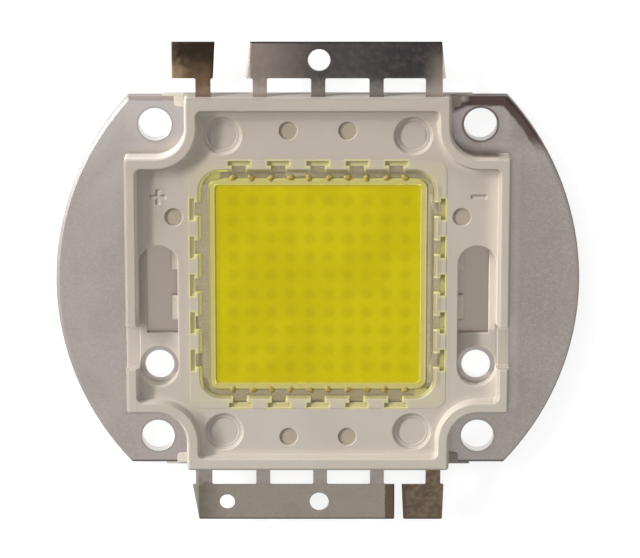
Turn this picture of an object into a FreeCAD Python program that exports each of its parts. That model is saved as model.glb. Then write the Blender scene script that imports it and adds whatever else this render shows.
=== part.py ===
import FreeCAD, Part
import math
import os
import Sketcher

# Chip-on-board LED module, about 56 mm over the wings. Millimetres, +Z up. The origin is the
# middle of the plate's underside. +Y points to the end with the short upper tab on its left.

# Driving dimensions: alias, value in mm (angles in degrees, counts as whole numbers), meaning
SIZES = [
    ("plate_thick", "1.5", "metal base plate, thickness"),
    ("plate_reach", "28.0", "middle of the plate to the tip of a wing"),
    ("wing_radius", "29.9", "radius of the round wing edge"),
    ("plate_half", "20.25", "middle of the plate to a straight edge"),
    ("roll_run", "0.35", "width of the rolled edge left by stamping"),
    ("roll_drop", "0.15", "how far the rolled edge falls"),
    ("screw_pitch", "34.5", "spacing of the corner holes, both ways"),
    ("screw_bore", "3.5", "diameter of a corner hole"),
    ("side_hole_span", "34.0", "distance between the two side holes"),
    ("side_hole_drop", "9.15", "side holes, distance below the middle"),
    ("side_hole_bore", "3.0", "diameter of a side hole"),
    ("anchor_half", "15.2", "half length of the notch that the moulding fills"),
    ("anchor_depth", "1.1", "depth of that notch"),
    ("anchor_corner", "0.45", "its corner radius"),
    ("anchor_foot", "0.2", "underside of the filling above the plate's underside"),
    ("anchor_rise", "0.1", "top of the filling above the plate's top"),
    ("skirt_half", "16.4", "half length of the skirt outside the plate's edge"),
    ("skirt_low", "0.5", "skirt's lower edge above the underside"),
    ("frame_reach_x", "20.52", "moulding, middle to the face of a side arm"),
    ("frame_reach_y", "20.48", "moulding, middle to its end face"),
    ("screw_clear", "3.15", "radius left free round a corner hole"),
    ("frame_corner", "0.4", "outer corner radius of the moulding"),
    ("rim_height", "2.5", "rim above the plate"),
    ("floor_height", "1.6", "floor of the moulding above the plate"),
    ("rim_side", "1.05", "rim width along the arms' faces"),
    ("rim_end", "1.25", "rim width along the end faces"),
    ("rim_notch", "1.15", "rim width round the corner holes"),
    ("rim_corner", "0.7", "inner corner radius of the rim"),
    ("rim_draft", "20", "slope of the rim's inner wall"),
    ("rim_edge", "0.24", "bevel on the rim's outer edge"),
    ("recess_radius", "2.08", "side recess, half width and end radius"),
    ("recess_top", "2.3", "centre of its upper end above the middle"),
    ("shelf_height", "0.5", "floor of the side recess above the plate"),
    ("pocket_out", "1.3", "bare metal pocket, side hole's centre line to outer edge"),
    ("pocket_in", "2.0", "the same to the inner edge"),
    ("pocket_low", "3.55", "pocket's straight end above the side hole"),
    ("tab_reach", "0.6", "length of the two small tabs in the pocket"),
    ("tab_one", "10.63", "lower side of the upper tab above the side hole"),
    ("tab_two_top", "7.7", "upper side of the lower tab above the side hole"),
    ("tab_two_low", "4.97", "lower side of the lower tab above the side hole"),
    ("channel_width", "4.7", "wire channel through the side rim"),
    ("channel_drop", "0.1", "its floor below the side recess's"),
    ("mark_x", "10.1", "large round mark, middle to its centre"),
    ("mark_y", "16.35", "the same along Y"),
    ("mark_radius", "2.1", "large round mark, radius of its rim"),
    ("mark_inner", "1.55", "radius of the step inside it"),
    ("mark_depth", "0.28", "depth of the dish"),
    ("mark_step", "0.08", "depth of the inner step below the dish"),
    ("mark_draft", "45", "slope of the dish's wall"),
    ("dimple_radius", "0.97", "small round dimple"),
    ("dimple_depth", "0.15", "its depth"),
    ("dimple_x", "3.15", "end dimples, middle to centre"),
    ("dimple_y", "16.9", "the same along Y"),
    ("side_dimple_x", "15.3", "side dimples, middle to centre"),
    ("side_dimple_y", "7.5", "the same along Y"),
    ("window_half", "10.9", "light window, half width"),
    ("window_corner", "0.45", "its corner radius"),
    ("ledge_width", "0.8", "plastic ledge between window and electrodes"),
    ("bar_width", "1.1", "electrode bar, width"),
    ("bar_cover", "0.43", "strip of the bar that the moulding covers"),
    ("bar_gap", "1.5", "gap between the end of a bar and the other electrode"),
    ("ring_corner", "2.1", "corner radius of the opening round the electrodes"),
    ("ring_slope_run", "0.37", "slope round that opening, width"),
    ("ring_slope_drop", "0.22", "its height"),
    ("lead_thick", "0.3", "sheet thickness of the lead frame"),
    ("lead_height", "1.2", "top of the lead frame above the plate"),
    ("pad_border", "0.1", "raised pad beyond the slots"),
    ("pad_rise", "0.02", "height of the raised pad"),
    ("pad_corner", "1.2", "corner radius of the raised pad"),
    ("slot_count", "5", "T slots on each side of the window"),
    ("slot_end", "4.03", "first T slot from the ring opening's corner"),
    ("stem_width", "1.5", "T slot, width of its stem"),
    ("stem_length", "0.73", "length of its stem"),
    ("cap_width", "2.35", "T slot, width of its cap"),
    ("cap_length", "0.5", "length of its cap"),
    ("tongue_width", "1.3", "metal tongue in a T slot"),
    ("tongue_over", "0.07", "how far it reaches into the cap"),
    ("leg_shift", "0.05", "corner leg's centre line beyond the side bar's"),
    ("leg_width", "1.5", "inner legs"),
    ("upper_row_shift", "0.05", "inner legs of the upper strip, aside along X"),
    ("lower_row_shift", "0.25", "inner legs of the lower strip, aside along X"),
    ("corner_leg_width", "1.8", "leg at the corner where the bars meet"),
    ("tab_leg_width", "1.6", "leg of a tab"),
    ("upper_tab_shift", "0.2", "upper tab's leg, nearer the middle than the corner leg"),
    ("lower_tab_shift", "0.16", "lower tab's leg, farther out than the corner leg"),
    ("leg_free", "1.98", "bare leg between moulding and strip"),
    ("leg_fillet", "0.2", "fillet between a leg and its strip"),
    ("strip_width", "3.9", "terminal strip"),
    ("cut_edge", "0.18", "slope left by the shear at a strip's ends"),
    ("upper_start", "1.54", "upper strip, cut end beyond its first leg's centre"),
    ("upper_start_slant", "0.52", "how far that end is cut back at the outer edge"),
    ("upper_end", "1.21", "upper strip, other cut end beyond the corner leg's centre"),
    ("upper_end_slant", "0.42", "how far that end is cut back at the outer edge"),
    ("upper_hole_radius", "1.18", "hole in the upper strip"),
    ("upper_hole_shift", "0.15", "its centre beside the middle leg"),
    ("lower_start", "1.9", "lower strip, cut end beyond its first leg's centre"),
    ("lower_end", "1.26", "lower strip, other cut end beyond the corner leg's centre"),
    ("lower_end_slant", "0.69", "how far that end is cut back at the outer edge"),
    ("lower_hole_radius", "1.03", "hole near the middle of the lower strip"),
    ("lower_small_radius", "0.82", "smaller hole near the strip's end"),
    ("lower_small_back", "2.5", "its centre short of the corner leg's centre"),
    ("upper_tab_in", "1.06", "upper tab, inner end from its leg's centre"),
    ("upper_tab_in_slant", "0.2", "how far that end runs out at the outer edge"),
    ("upper_tab_out", "3.29", "upper tab, outer end from its leg's centre"),
    ("lower_tab_in", "3.38", "lower tab, inner end from its leg's centre"),
    ("lower_tab_in_slant", "0.18", "how far that end is cut back at the outer edge"),
    ("lower_tab_out", "1.15", "lower tab, outer end from its leg's centre"),
    ("lower_tab_out_slant", "0.13", "how far that end is cut back at the outer edge"),
    ("die_count", "10", "dies in a string, and strings"),
    ("die_side", "1.14", "side of a die"),
    ("die_thick", "0.15", "thickness of a die"),
    ("array_margin", "1.15", "outermost die to the window's wall"),
    ("wire_thick", "0.05", "bond wire"),
    ("wire_foot", "0.12", "length of a bond"),
    ("wire_rise", "0.3", "height of a wire's loop above the dies"),
    ("bond_inset", "0.2", "bond's centre inside a die's edge"),
    ("array_aside", "0.15", "middle of the strings beside the window's middle"),
    ("bond_on_bar", "0.12", "bond's centre on the bar, from the bar's inner edge"),
    ("end_rise", "0.12", "top of an end wire above the lead frame"),
    ("gel_rise", "0.07", "phosphor gel's surface above the ledge"),
    ("dam_width", "0.76", "silicone bead round the window"),
    ("dam_height", "0.16", "its height above the ledge"),
    ("dam_edge", "0.1", "slope along both edges of the bead"),
    ("seal_height", "0.2", "clear silicone above the electrodes"),
]

doc = FreeCAD.newDocument("cob_led")
sheet = doc.addObject("Spreadsheet::Sheet", "dims")
for number, (alias, value, meaning) in enumerate(SIZES, start=1):
    sheet.set(f"A{number}", alias)
    sheet.set(f"B{number}", value)
    sheet.set(f"C{number}", meaning)
    sheet.setAlias(f"B{number}", alias)
doc.recompute()

# Places that several pieces share, each worked out in the sheet from the driving dimensions
SHARED = [
    ("screw_at", "=screw_pitch / 2"),
    ("side_hole_at", "=side_hole_span / 2"),
    ("arm_half", "=screw_at - screw_clear"),
    ("plate_edge_top", "=plate_thick - roll_drop"),
    ("wing_centre", "=plate_reach - wing_radius"),
    ("plate_corner", "=wing_centre + sqrt(wing_radius ^ 2 - plate_half ^ 2)"),
    ("skirt_reach", "=frame_reach_y"),
    ("rim_top", "=plate_thick + rim_height"),
    ("floor_at", "=plate_thick + floor_height"),
    ("shelf_at", "=plate_thick + shelf_height"),
    ("pad_at", "=floor_at + pad_rise"),
    ("lead_top", "=plate_thick + lead_height"),
    ("lead_low", "=lead_top - lead_thick"),
    ("bar_in", "=window_half + ledge_width"),
    ("bar_out", "=bar_in + bar_width"),
    ("ring_half", "=bar_out - bar_cover"),
    ("stem_end", "=ring_half + stem_length"),
    ("cap_end", "=stem_end + cap_length"),
    ("pad_half", "=cap_end + pad_border"),
    ("slot_pitch", "=2 * (ring_half - slot_end) / (slot_count - 1)"),
    ("tongue_end", "=stem_end + tongue_over"),
    ("corner_leg", "=bar_in + bar_width / 2 + leg_shift"),
    ("leg_pitch", "=corner_leg / 2"),
    ("upper_tab_leg", "=corner_leg - upper_tab_shift"),
    ("lower_tab_leg", "=corner_leg + lower_tab_shift"),
    ("strip_in", "=frame_reach_y + leg_free"),
    ("strip_out", "=strip_in + strip_width"),
    ("strip_mid", "=strip_in + strip_width / 2"),
    ("die_top", "=plate_thick + die_thick"),
    ("array_half", "=window_half - array_margin - die_side / 2"),
    ("die_pitch", "=2 * array_half / (die_count - 1)"),
    ("gel_top", "=lead_top + gel_rise"),
    ("dam_out", "=window_half + dam_width"),
    ("dam_top", "=lead_top + dam_height"),
    ("seal_top", "=lead_top + seal_height"),
]
for number, (alias, formula) in enumerate(SHARED, start=len(SIZES) + 2):
    sheet.set(f"A{number}", alias)
    sheet.setAlias(f"B{number}", alias)
    sheet.set(f"B{number}", formula)
    doc.recompute()


def size(formula):
    """The value of a formula in which every word after 'dims.' is a cell of the sheet."""
    result = sheet.evalExpression(formula.replace("dims.", ""))
    return float(getattr(result, "Value", result))


# Sketch helpers: every corner is tied to the sketch's origin by two formulas

def bind(sketch, kind, formula, *geometry):
    """Adds one constraint whose value follows a formula."""
    number = sketch.addConstraint(Sketcher.Constraint(kind, *geometry, size(formula)))
    sketch.setExpression(f"Constraints[{number}]", formula)


def tie(sketch, geometry, vertex, x, y):
    """Ties a point of the sketch to the place given by two formulas."""
    for kind, formula, axis in (("DistanceX", x, -2), ("DistanceY", y, -1)):
        if abs(size(formula)) < 1e-9:
            sketch.addConstraint(Sketcher.Constraint("PointOnObject", geometry, vertex, axis))
        else:
            bind(sketch, kind, formula, -1, 1, geometry, vertex)


def outline(sketch, corners, arcs=None):
    """A closed outline. arcs maps a side's number to (radius, side of its centre: 1 left, -1 right)."""
    arcs = arcs or {}
    places = [FreeCAD.Vector(size(x), size(y), 0) for x, y in corners]
    ends = []
    for number, start in enumerate(places):
        end = places[(number + 1) % len(places)]
        if number not in arcs:
            geometry = sketch.addGeometry(Part.LineSegment(start, end), False)
            ends.append((geometry, 1, 2))
            continue
        radius, side = arcs[number]
        chord = end - start
        left = FreeCAD.Vector(-chord.y, chord.x, 0).normalize()
        reach = math.sqrt(max(size(radius) ** 2 - (chord.Length / 2) ** 2, 0))
        centre = (start + end) * 0.5 + left * (side * reach)
        first, last = (start, end) if side > 0 else (end, start)
        angles = [math.atan2(p.y - centre.y, p.x - centre.x) for p in (first, last)]
        circle = Part.Circle(centre, FreeCAD.Vector(0, 0, 1), size(radius))
        geometry = sketch.addGeometry(Part.ArcOfCircle(circle, *angles), False)
        ends.append((geometry, 1, 2) if side > 0 else (geometry, 2, 1))
        bind(sketch, "Radius", radius, geometry)
    for number, (geometry, start, end) in enumerate(ends):
        following, its_start, its_end = ends[(number + 1) % len(ends)]
        sketch.addConstraint(Sketcher.Constraint("Coincident", geometry, end, following, its_start))
        x, y = corners[number]
        tie(sketch, geometry, start, x, y)


def circle(sketch, x, y, radius):
    """A circle at a place given by formulas."""
    shape = Part.Circle(FreeCAD.Vector(size(x), size(y), 0), FreeCAD.Vector(0, 0, 1), size(radius))
    geometry = sketch.addGeometry(shape, False)
    bind(sketch, "Radius", radius, geometry)
    tie(sketch, geometry, 3, x, y)


def box_outline(sketch, left, right, low, high):
    """A plain rectangle between four formulas."""
    outline(sketch, [(left, low), (right, low), (right, high), (left, high)])


def round_square(sketch, half, corner):
    """A square about the origin with round corners."""
    flat = f"({half} - {corner})"
    corners = []
    for turn_x, turn_y in ((1, -1), (1, 1), (-1, 1), (-1, -1)):
        on_side = (f"{turn_x} * {half}", f"{turn_y} * {flat}")
        on_end = (f"{turn_x} * {flat}", f"{turn_y} * {half}")
        corners += [on_end, on_side] if turn_x * turn_y < 0 else [on_side, on_end]
    outline(sketch, corners, {side: (corner, 1) for side in (0, 2, 4, 6)})


def cross_outline(sketch, reach_x, reach_y, notch, corner):
    """The moulding's plan: a rectangle with a round bite of radius notch about each corner hole."""
    centre = "dims.screw_at"
    inner = f"({centre} - ({notch}))"
    quarter = [
        (f"({reach_x})", f"({inner} - {corner})"),
        (f"(({reach_x}) - {corner})", inner),
        (centre, inner),
        (inner, centre),
        (inner, f"(({reach_y}) - {corner})"),
        (f"({inner} - {corner})", f"({reach_y})"),
    ]
    corners = []
    arcs = {}
    for turn_x, turn_y in ((1, 1), (-1, 1), (-1, -1), (1, -1)):
        order = quarter if turn_x * turn_y > 0 else quarter[::-1]
        first = len(corners)
        corners += [(f"{turn_x} * {x}", f"{turn_y} * {y}") for x, y in order]
        arcs[first] = (corner, 1)
        arcs[first + 2] = (notch, -1)
        arcs[first + 4] = (corner, 1)
    outline(sketch, corners, arcs)


# Body helpers

def new_body(label):
    """An empty body of its own."""
    body = doc.addObject("PartDesign::Body", label)
    body.Label = label
    return body


def new_sketch(body, name, height, role="XY_Plane"):
    """A sketch on one of the body's own origin planes, lifted by a formula."""
    plane = next(item for item in body.Origin.OriginFeatures if item.Role == role)
    sketch = body.newObject("Sketcher::SketchObject", name)
    sketch.AttachmentSupport = [(plane, "")]
    sketch.MapMode = "FlatFace"
    sketch.setExpression("AttachmentOffset.Base.z", height)
    doc.recompute()
    return sketch


def pad(body, sketch, name, length, draft=None):
    """Adds the sketch's outline, raised by a formula."""
    before = volume(body)
    feature = body.newObject("PartDesign::Pad", name)
    feature.Profile = sketch
    feature.setExpression("Length", length)
    if draft:
        feature.setExpression("TaperAngle", draft)
    doc.recompute()
    assert volume(body) > before, f"{name} adds nothing"
    return feature


def pocket(body, sketch, name, depth, draft=None):
    """Cuts the sketch's outline downwards by a formula, and proves that something was cut."""
    before = volume(body)
    feature = body.newObject("PartDesign::Pocket", name)
    feature.Profile = sketch
    feature.setExpression("Length", depth)
    if draft:
        feature.setExpression("TaperAngle", draft)
    doc.recompute()
    assert volume(body) < before, f"{name} cuts nothing"
    return feature


def volume(body):
    """The body's volume, or 0 while it is empty."""
    return 0.0 if body.Shape.isNull() else body.Shape.Volume


def edges_where(feature, test):
    """Names of the feature's edges that pass a test."""
    return [f"Edge{n}" for n, edge in enumerate(feature.Shape.Edges, start=1) if test(edge)]


def level(edge, height):
    """True for an edge that lies flat at a height."""
    return abs(edge.BoundBox.ZMin - height) < 1e-4 and abs(edge.BoundBox.ZMax - height) < 1e-4


# Base plate: one stamped and plated sheet with round wings

def anchor_outline(sketch, side):
    """The notch in a straight edge of the plate, filled by the moulding; side is 1 or -1."""
    inner = "(dims.plate_half - dims.anchor_depth)"
    bend = "dims.anchor_corner"
    corners = [
        ("dims.anchor_half", f"{side} * dims.plate_half"),
        ("-dims.anchor_half", f"{side} * dims.plate_half"),
        ("-dims.anchor_half", f"{side} * ({inner} + {bend})"),
        (f"-(dims.anchor_half - {bend})", f"{side} * {inner}"),
        (f"dims.anchor_half - {bend}", f"{side} * {inner}"),
        ("dims.anchor_half", f"{side} * ({inner} + {bend})"),
    ]
    outline(sketch, corners, {2: (bend, side), 4: (bend, side)})


def make_base_plate():
    body = new_body("base_plate")
    plan = new_sketch(body, "plate_plan", "0 mm")
    corners = [
        ("-dims.plate_corner", "-dims.plate_half"),
        ("dims.plate_corner", "-dims.plate_half"),
        ("dims.plate_corner", "dims.plate_half"),
        ("-dims.plate_corner", "dims.plate_half"),
    ]
    outline(plan, corners, {1: ("dims.wing_radius", 1), 3: ("dims.wing_radius", 1)})
    blank = pad(body, plan, "plate_blank", "dims.plate_thick")
    roll = body.newObject("PartDesign::Chamfer", "plate_roll")
    roll.Base = (blank, edges_where(blank, lambda edge: level(edge, size("dims.plate_thick"))))
    roll.ChamferType = "Two distances"
    roll.setExpression("Size", "dims.roll_run")
    roll.setExpression("Size2", "dims.roll_drop")
    doc.recompute()
    top = [face for face in body.Shape.Faces if level(face, size("dims.plate_thick"))][0]
    if abs(top.BoundBox.YMax - size("dims.plate_half - dims.roll_run")) > 1e-4:
        roll.FlipDirection = True
        doc.recompute()
    for side, name in ((1, "upper"), (-1, "lower")):
        notch = new_sketch(body, f"plate_{name}_notch", "dims.plate_thick")
        anchor_outline(notch, side)
        pocket(body, notch, f"plate_{name}_anchor", "dims.plate_thick")
    holes = new_sketch(body, "plate_holes", "dims.plate_thick")
    for turn_x in (-1, 1):
        for turn_y in (-1, 1):
            circle(holes, f"{turn_x} * dims.screw_at", f"{turn_y} * dims.screw_at", "dims.screw_bore / 2")
        circle(holes, f"{turn_x} * dims.side_hole_at", "-dims.side_hole_drop", "dims.side_hole_bore / 2")
    pocket(body, holes, "plate_bores", "dims.plate_thick")
    return body


# Moulded frame: the plastic housing that is moulded round the plate's edge and the lead frame

def frame_shell(body):
    """The raised cross-shaped tray with its rim."""
    plan = new_sketch(body, "frame_plan", "dims.plate_thick")
    cross_outline(plan, "dims.frame_reach_x", "dims.frame_reach_y", "dims.screw_clear", "dims.frame_corner")
    block = pad(body, plan, "frame_block", "dims.rim_height")
    soft = body.newObject("PartDesign::Chamfer", "frame_soft_edge")
    soft.Base = (block, edges_where(block, lambda edge: level(edge, size("dims.rim_top"))))
    soft.setExpression("Size", "dims.rim_edge")
    doc.recompute()
    tray = new_sketch(body, "frame_tray_plan", "dims.rim_top")
    cross_outline(tray, "dims.frame_reach_x - dims.rim_side", "dims.frame_reach_y - dims.rim_end",
                  "dims.screw_clear + dims.rim_notch", "dims.rim_corner")
    pocket(body, tray, "frame_tray", "dims.rim_height - dims.floor_height", "-dims.rim_draft")


def frame_anchors(body):
    """Fillings of the plate's notches, and the skirt outside its straight edges."""
    for side, name in ((1, "upper"), (-1, "lower")):
        filling = new_sketch(body, f"frame_{name}_filling", "dims.anchor_foot")
        anchor_outline(filling, side)
        pad(body, filling, f"frame_{name}_anchor", "dims.plate_thick + dims.anchor_rise - dims.anchor_foot")
        edge = new_sketch(body, f"frame_{name}_edge", "dims.skirt_low")
        box_outline(edge, "-dims.skirt_half", "dims.skirt_half",
                    f"{side} * dims.plate_half", f"{side} * dims.skirt_reach")
        pad(body, edge, f"frame_{name}_skirt", "dims.plate_edge_top - dims.skirt_low")
        bridge = new_sketch(body, f"frame_{name}_bridge", "dims.skirt_low")
        box_outline(bridge, "-dims.arm_half", "dims.arm_half",
                    f"{side} * dims.plate_half", f"{side} * dims.skirt_reach")
        pad(body, bridge, f"frame_{name}_end", "dims.plate_thick - dims.skirt_low")


def t_slot(sketch, part, centre):
    """One T slot on the upper side of the window: its stem, or its cap."""
    half = "dims.stem_width / 2" if part == "stem" else "dims.cap_width / 2"
    low = "dims.ring_half" if part == "stem" else "dims.stem_end"
    high = "dims.stem_end" if part == "stem" else "dims.cap_end"
    box_outline(sketch, f"{centre} - {half}", f"{centre} + {half}", low, high)


def slot_places():
    """Centre lines of the T slots along one side."""
    count = int(size("dims.slot_count"))
    return [f"({number - (count - 1) / 2} * dims.slot_pitch)" for number in range(count)]


def slot_sketches(body, prefix, height):
    """One sketch of stems and one of caps, for the upper side of the window."""
    sketches = []
    for part in ("stem", "cap"):
        sketch = new_sketch(body, f"{prefix}_{part}s", height)
        for centre in slot_places():
            t_slot(sketch, part, centre)
        sketches.append(sketch)
    return sketches


def round_the_window(body, name, originals):
    """Repeats features on all four sides of the window."""
    axis = next(item for item in body.Origin.OriginFeatures if item.Role == "Z_Axis")
    pattern = body.newObject("PartDesign::PolarPattern", name)
    pattern.Originals = originals
    pattern.Axis = (axis, [""])
    pattern.Angle = 360
    pattern.Occurrences = 4
    body.Tip = pattern
    doc.recompute()
    return pattern


def frame_window(body):
    """Raised pad, ring opening over the electrodes, T slots and the light window."""
    raised = new_sketch(body, "frame_pad_plan", "dims.floor_at")
    round_square(raised, "dims.pad_half", "dims.pad_corner")
    pad(body, raised, "frame_pad", "dims.pad_rise")
    slope = new_sketch(body, "frame_slope_plan", "dims.pad_at")
    round_square(slope, "(dims.ring_half + dims.ring_slope_run)", "(dims.ring_corner + dims.ring_slope_run)")
    pocket(body, slope, "frame_slope", "dims.ring_slope_drop", "-atan(dims.ring_slope_run / dims.ring_slope_drop)")
    ring = new_sketch(body, "frame_ring_plan", "dims.pad_at")
    round_square(ring, "dims.ring_half", "dims.ring_corner")
    pocket(body, ring, "frame_ring", "dims.pad_at - dims.lead_top")
    stems, caps = slot_sketches(body, "frame_slot", "dims.pad_at")
    stem_cut = pocket(body, stems, "frame_stems", "dims.pad_at - dims.lead_top")
    cap_cut = pocket(body, caps, "frame_caps", "dims.pad_at - dims.lead_low")
    round_the_window(body, "frame_slots", [stem_cut, cap_cut])
    light = new_sketch(body, "frame_window_plan", "dims.lead_top")
    round_square(light, "dims.window_half", "dims.window_corner")
    pocket(body, light, "frame_window", "dims.lead_height")


def recess_outline(sketch, side):
    """Side recess: a slot whose lower end is concentric with the side hole."""
    centre = f"{side} * dims.side_hole_at"
    radius = "dims.recess_radius"
    low = "-dims.side_hole_drop"
    high = "dims.recess_top"
    corners = [
        (f"{centre} - {radius}", low),
        (centre, f"{low} - {radius}"),
        (f"{centre} + {radius}", low),
        (f"{centre} + {radius}", high),
        (centre, f"{high} + {radius}"),
        (f"{centre} - {radius}", high),
    ]
    outline(sketch, corners, {0: (radius, 1), 1: (radius, 1), 3: (radius, 1), 4: (radius, 1)})


def pocket_outline(sketch, side):
    """Window to the bare plate, with two small tabs on the side towards the light window."""
    inside = "dims.pocket_in"
    outside = "dims.pocket_out"
    tab = "(dims.pocket_in - dims.tab_reach)"
    low = "(dims.pocket_low - dims.side_hole_drop)"
    tops = {name: f"(dims.recess_top + sqrt({inside} ^ 2 - {name} ^ 2))" for name in (outside, tab)}
    plan = [
        (f"-{inside}", low),
        (outside, low),
        (outside, tops[outside]),
        (f"-{tab}", tops[tab]),
        (f"-{tab}", "(dims.tab_one - dims.side_hole_drop)"),
        (f"-{inside}", "(dims.tab_one - dims.side_hole_drop)"),
        (f"-{inside}", "(dims.tab_two_top - dims.side_hole_drop)"),
        (f"-{tab}", "(dims.tab_two_top - dims.side_hole_drop)"),
        (f"-{tab}", "(dims.tab_two_low - dims.side_hole_drop)"),
        (f"-{inside}", "(dims.tab_two_low - dims.side_hole_drop)"),
    ]
    corners = [(f"{side} * (dims.side_hole_at + {x})", y) for x, y in plan]
    outline(sketch, corners, {2: (inside, side)})


def frame_sides(body):
    """Side recesses with their bare metal pockets, hole openings and wire channels."""
    recess = new_sketch(body, "frame_recess_plan", "dims.floor_at")
    metal = new_sketch(body, "frame_pocket_plan", "dims.shelf_at")
    holes = new_sketch(body, "frame_opening_plan", "dims.shelf_at")
    channel = new_sketch(body, "frame_channel_plan", "dims.rim_top")
    for side in (-1, 1):
        recess_outline(recess, side)
        pocket_outline(metal, side)
        circle(holes, f"{side} * dims.side_hole_at", "-dims.side_hole_drop", "dims.recess_radius")
        box_outline(channel, f"{side} * (dims.side_hole_at + dims.recess_radius)",
                    f"{side} * (dims.frame_reach_x + dims.rim_side)",
                    "-dims.side_hole_drop", "dims.channel_width - dims.side_hole_drop")
    pocket(body, recess, "frame_recess", "dims.floor_height - dims.shelf_height")
    pocket(body, channel, "frame_channel", "dims.rim_height - dims.shelf_height + dims.channel_drop")
    pocket(body, metal, "frame_pockets", "dims.shelf_height")
    pocket(body, holes, "frame_openings", "dims.shelf_height")


def frame_marks(body):
    """Four dished marks with an inner step, and six small dimples in the floor."""
    dish = new_sketch(body, "frame_dish_plan", "dims.floor_at")
    step = new_sketch(body, "frame_step_plan", "dims.floor_at")
    small = new_sketch(body, "frame_dimple_plan", "dims.floor_at")
    for turn_x in (-1, 1):
        for turn_y in (-1, 1):
            place = (f"{turn_x} * dims.mark_x", f"{turn_y} * dims.mark_y")
            circle(dish, *place, "dims.mark_radius")
            circle(step, *place, "dims.mark_inner")
            circle(small, f"{turn_x} * dims.dimple_x", f"{turn_y} * dims.dimple_y", "dims.dimple_radius")
        circle(small, f"{turn_x} * dims.side_dimple_x", "dims.side_dimple_y", "dims.dimple_radius")
    pocket(body, dish, "frame_dishes", "dims.mark_depth", "-dims.mark_draft")
    pocket(body, step, "frame_steps", "dims.mark_depth + dims.mark_step")
    pocket(body, small, "frame_dimples", "dims.dimple_depth")


def make_frame_body():
    body = new_body("frame_blank")
    frame_shell(body)
    frame_anchors(body)
    frame_window(body)
    frame_sides(body)
    frame_marks(body)
    return body


# Lead frame: one stamped sheet, sheared into two electrodes after moulding

def make_electrode(label, turn, row_shift, tab_leg, strip_ends, tab_ends, holes):
    """An L of two bars with its legs, strip and tab. turn is -1 for the one that lies turned half round."""
    body = new_body(label)

    def area(name, shapes):
        sketch = new_sketch(body, f"{label}_{name}", "dims.lead_low")
        for corners in shapes:
            outline(sketch, [(f"{turn} * ({x})", f"{turn} * ({y})") for x, y in corners])
        return pad(body, sketch, f"{label}_{name}_sheet", "dims.lead_thick")

    def plain(left, right, low, high):
        return [(left, low), (right, low), (right, high), (left, high)]

    def strip(side, ends):
        """A strip between its inner and outer edges; ends are (place, how far it is cut back) left and right."""
        (left, left_back), (right, right_back) = ends
        return [(left, f"{side} * dims.strip_in"), (right, f"{side} * dims.strip_in"),
                (f"{right} - {right_back}", f"{side} * dims.strip_out"),
                (f"{left} + {left_back}", f"{side} * dims.strip_out")]

    area("long_bar", [plain("-(dims.bar_in - dims.bar_gap)", "dims.bar_out", "dims.bar_in", "dims.bar_out")])
    area("side_bar", [plain("dims.bar_in", "dims.bar_out", "-dims.bar_out", "dims.bar_in")])
    half = "dims.tongue_width / 2"
    tongues = [(f"{place} - {half}", f"{place} + {half}") for place in slot_places()]
    area("upper_tongues", [plain(low, high, "dims.bar_out", "dims.tongue_end") for low, high in tongues])
    area("side_tongues", [plain("dims.bar_out", "dims.tongue_end", low, high) for low, high in tongues])
    inner = [f"({number} * dims.leg_pitch + {row_shift})" for number in (-1, 0, 1)]
    legs = [(at, "dims.leg_width / 2", 1) for at in inner]
    legs += [("dims.corner_leg", "dims.corner_leg_width / 2", 1), (tab_leg, "dims.tab_leg_width / 2", -1)]
    area("legs", [plain(f"{at} - {half}", f"{at} + {half}", f"{side} * dims.bar_in", f"{side} * dims.strip_in")
                  for at, half, side in legs])
    area("strip", [strip(1, strip_ends(inner[0]))])
    last = area("tab", [strip(-1, tab_ends(tab_leg))])
    soften_legs(body, last, legs, turn)
    sketch = new_sketch(body, f"{label}_holes", "dims.lead_top")
    for place, radius in holes:
        circle(sketch, f"{turn} * ({place})", f"{turn} * dims.strip_mid", radius)
    pocket(body, sketch, f"{label}_bores", "dims.lead_thick")
    return body


def soften_legs(body, feature, legs, turn):
    """Small fillets where the legs meet the strip and the tab, and sloped edges where it was sheared."""
    root = size("dims.strip_in")
    corners = [(turn * (size(at) + sign * size(half)), turn * side * root) for at, half, side in legs
               for sign in (-1, 1)]

    def at_root(edge):
        box = edge.BoundBox
        upright = box.ZLength > 1e-3 and box.XLength < 1e-4 and box.YLength < 1e-4
        return upright and any(abs(box.XMin - x) < 1e-4 and abs(box.YMin - y) < 1e-4 for x, y in corners)

    soft = body.newObject("PartDesign::Fillet", f"{body.Label}_leg_fillets")
    soft.Base = (feature, edges_where(feature, at_root))
    soft.setExpression("Radius", "dims.leg_fillet")
    doc.recompute()

    def at_cut(edge):
        box = edge.BoundBox
        whole = abs(box.YLength - size("dims.strip_width")) < 1e-3
        return level(edge, size("dims.lead_top")) and whole and min(abs(box.YMin), abs(box.YMax)) > root - 1e-3

    sheared = body.newObject("PartDesign::Chamfer", f"{body.Label}_cut_ends")
    sheared.Base = (soft, edges_where(soft, at_cut))
    sheared.setExpression("Size", "dims.cut_edge")
    doc.recompute()


# Dies and bond wires: the first string is modelled, and the others are copies of it beside it

def make_die_column():
    """Ten dies in a line along Y, as separate solids."""
    body = new_body("die_column")
    body.AllowCompound = True
    plan = new_sketch(body, "die_plan", "dims.plate_thick")
    for number in range(int(size("dims.die_count"))):
        at = f"(dims.array_half - {number} * dims.die_pitch)"
        box_outline(plan, "-dims.die_side / 2", "dims.die_side / 2",
                    f"{at} - dims.die_side / 2", f"{at} + dims.die_side / 2")
    pad(body, plan, "die_blocks", "dims.die_thick")
    return body


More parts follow.
